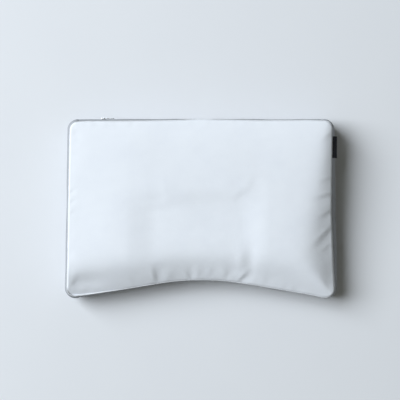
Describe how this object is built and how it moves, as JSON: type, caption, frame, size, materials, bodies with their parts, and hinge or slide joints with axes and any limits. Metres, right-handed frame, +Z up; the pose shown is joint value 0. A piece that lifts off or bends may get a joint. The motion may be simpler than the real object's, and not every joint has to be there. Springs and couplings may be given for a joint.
{
  "type": "contoured head pillow",
  "caption": "Contoured head pillow with an arched neck edge: a zipped, boxed fabric cover over a baffled inner bag of loose fill and foam height pads.",
  "frame": {"origin": "middle of the pillow's bounding box, on the flat surface it lies on", "axes": "+X along the long side towards the side label, +Y to the straight zipped side, -Y to the arched neck side, +Z up"},
  "size_m": [0.5992, 0.398, 0.1],
  "materials": {
    "cover_knit": "smooth matte knit",
    "gusset_knit": "smooth matte knit, light grey",
    "seam_tape": "edge-stitched seam",
    "side_label": "woven navy ribbon, left blank",
    "care_label": "white satin, left blank",
    "zip_tape": "woven tape",
    "zip_teeth": "moulded acetal",
    "zip_metal": "nickel-plated zinc",
    "bag_cloth": "thin nonwoven",
    "pad_foam": "open-cell foam sheet",
    "fill_fibre": "loose fibre fill"
  },
  "bodies": {
    "cover": {"face_panel": "cover_knit", "base_panel": "cover_knit", "face_seam_edge": "seam_tape", "base_seam_edge": "seam_tape", "neck_gusset": "gusset_knit", "left_gusset": "gusset_knit", "right_gusset": "gusset_knit", "zip_panel_upper": "gusset_knit", "zip_panel_lower": "gusset_knit", "zip_tape_upper": "zip_tape", "zip_tape_lower": "zip_tape", "zip_teeth_upper": "zip_teeth", "zip_teeth_lower": "zip_teeth", "zip_top_stop_upper": "zip_metal", "zip_top_stop_lower": "zip_metal", "zip_end_stop": "zip_metal", "side_label": "side_label", "care_label": "care_label", "bag_face": "bag_cloth", "bag_wall": "bag_cloth", "bag_base": "bag_cloth", "pad_pocket": "bag_cloth", "baffle_left": "bag_cloth", "baffle_right": "bag_cloth", "baffle_neck": "bag_cloth", "baffle_rear": "bag_cloth", "height_pad_lower": "pad_foam", "height_pad_upper": "pad_foam", "fill_left": "fill_fibre", "fill_right": "fill_fibre", "fill_neck": "fill_fibre", "fill_centre": "fill_fibre", "fill_rear": "fill_fibre"},
    "slider": {"zip_slider": "zip_metal"},
    "pull": {"zip_pull": "zip_metal"}
  },
  "joints": [
    {"name": "zip_slide", "type": "slide", "parent": "cover", "child": "slider", "axis": [1, 0, 0], "range_m": [0, 0.42], "deforming": ["zip_teeth_upper", "zip_teeth_lower"]},
    {"name": "pull_swing", "type": "hinge", "parent": "slider", "child": "pull", "pos_m": [-0.215, 0.1985, 0.036], "axis": [0, 0, 1], "range_deg": [0, 180]}
  ]
}
